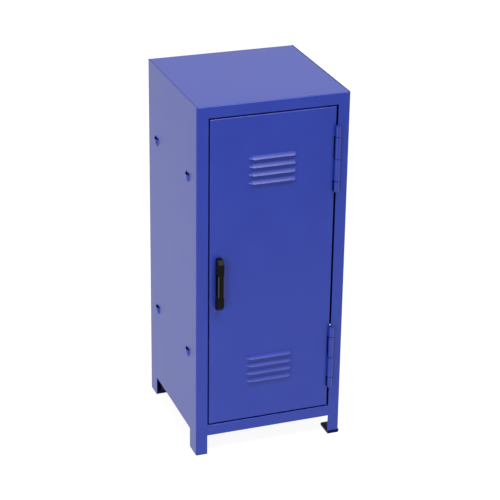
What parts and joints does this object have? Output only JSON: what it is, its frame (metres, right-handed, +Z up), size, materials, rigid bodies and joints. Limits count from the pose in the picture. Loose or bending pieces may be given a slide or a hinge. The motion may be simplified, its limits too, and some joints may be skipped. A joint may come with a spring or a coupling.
{
  "type": "metal cabinet",
  "caption": "Upright single-door sheet steel locker cabinet on legs, with louvered door, pull handle and folded shelves inside.",
  "frame": {"origin": "on the floor, below the middle of the whole object, handle included", "axes": "+X to the right seen from the front, +Y to the back, +Z up; the door faces -Y"},
  "size_m": [0.308, 0.3196, 0.72],
  "materials": {
    "blue_powder_coat": "satin powder coat",
    "black_plastic": "moulded satin",
    "zinc_steel": "bright zinc plate",
    "aluminium_rivet": "drawn",
    "ferrite": "sintered"
  },
  "bodies": {
    "carcass": {"left_side_panel": "blue_powder_coat", "right_side_panel": "blue_powder_coat", "top_panel": "blue_powder_coat", "bottom_panel": "blue_powder_coat", "back_panel": "blue_powder_coat", "upper_shelf": "blue_powder_coat", "lower_shelf": "blue_powder_coat", "upper_hinge_frame_leaf": "blue_powder_coat", "lower_hinge_frame_leaf": "blue_powder_coat", "catch_bracket": "blue_powder_coat", "catch_housing": "black_plastic", "foot_front_left": "black_plastic", "foot_front_right": "black_plastic", "foot_rear_left": "black_plastic", "foot_rear_right": "black_plastic", "upper_hinge_pin": "zinc_steel", "lower_hinge_pin": "zinc_steel", "catch_screws": "zinc_steel", "catch_poles": "zinc_steel", "back_rivets": "aluminium_rivet", "catch_magnet": "ferrite"},
    "door": {"door_panel": "blue_powder_coat", "door_handle": "black_plastic", "handle_screws": "zinc_steel", "upper_hinge_door_leaf": "blue_powder_coat", "lower_hinge_door_leaf": "blue_powder_coat"}
  },
  "joints": [
    {"name": "door_swing", "type": "hinge", "parent": "carcass", "child": "door", "pos_m": [0.1253, -0.1464, 0.38025], "axis": [0, 0, 1], "range_deg": [0, 180]}
  ]
}
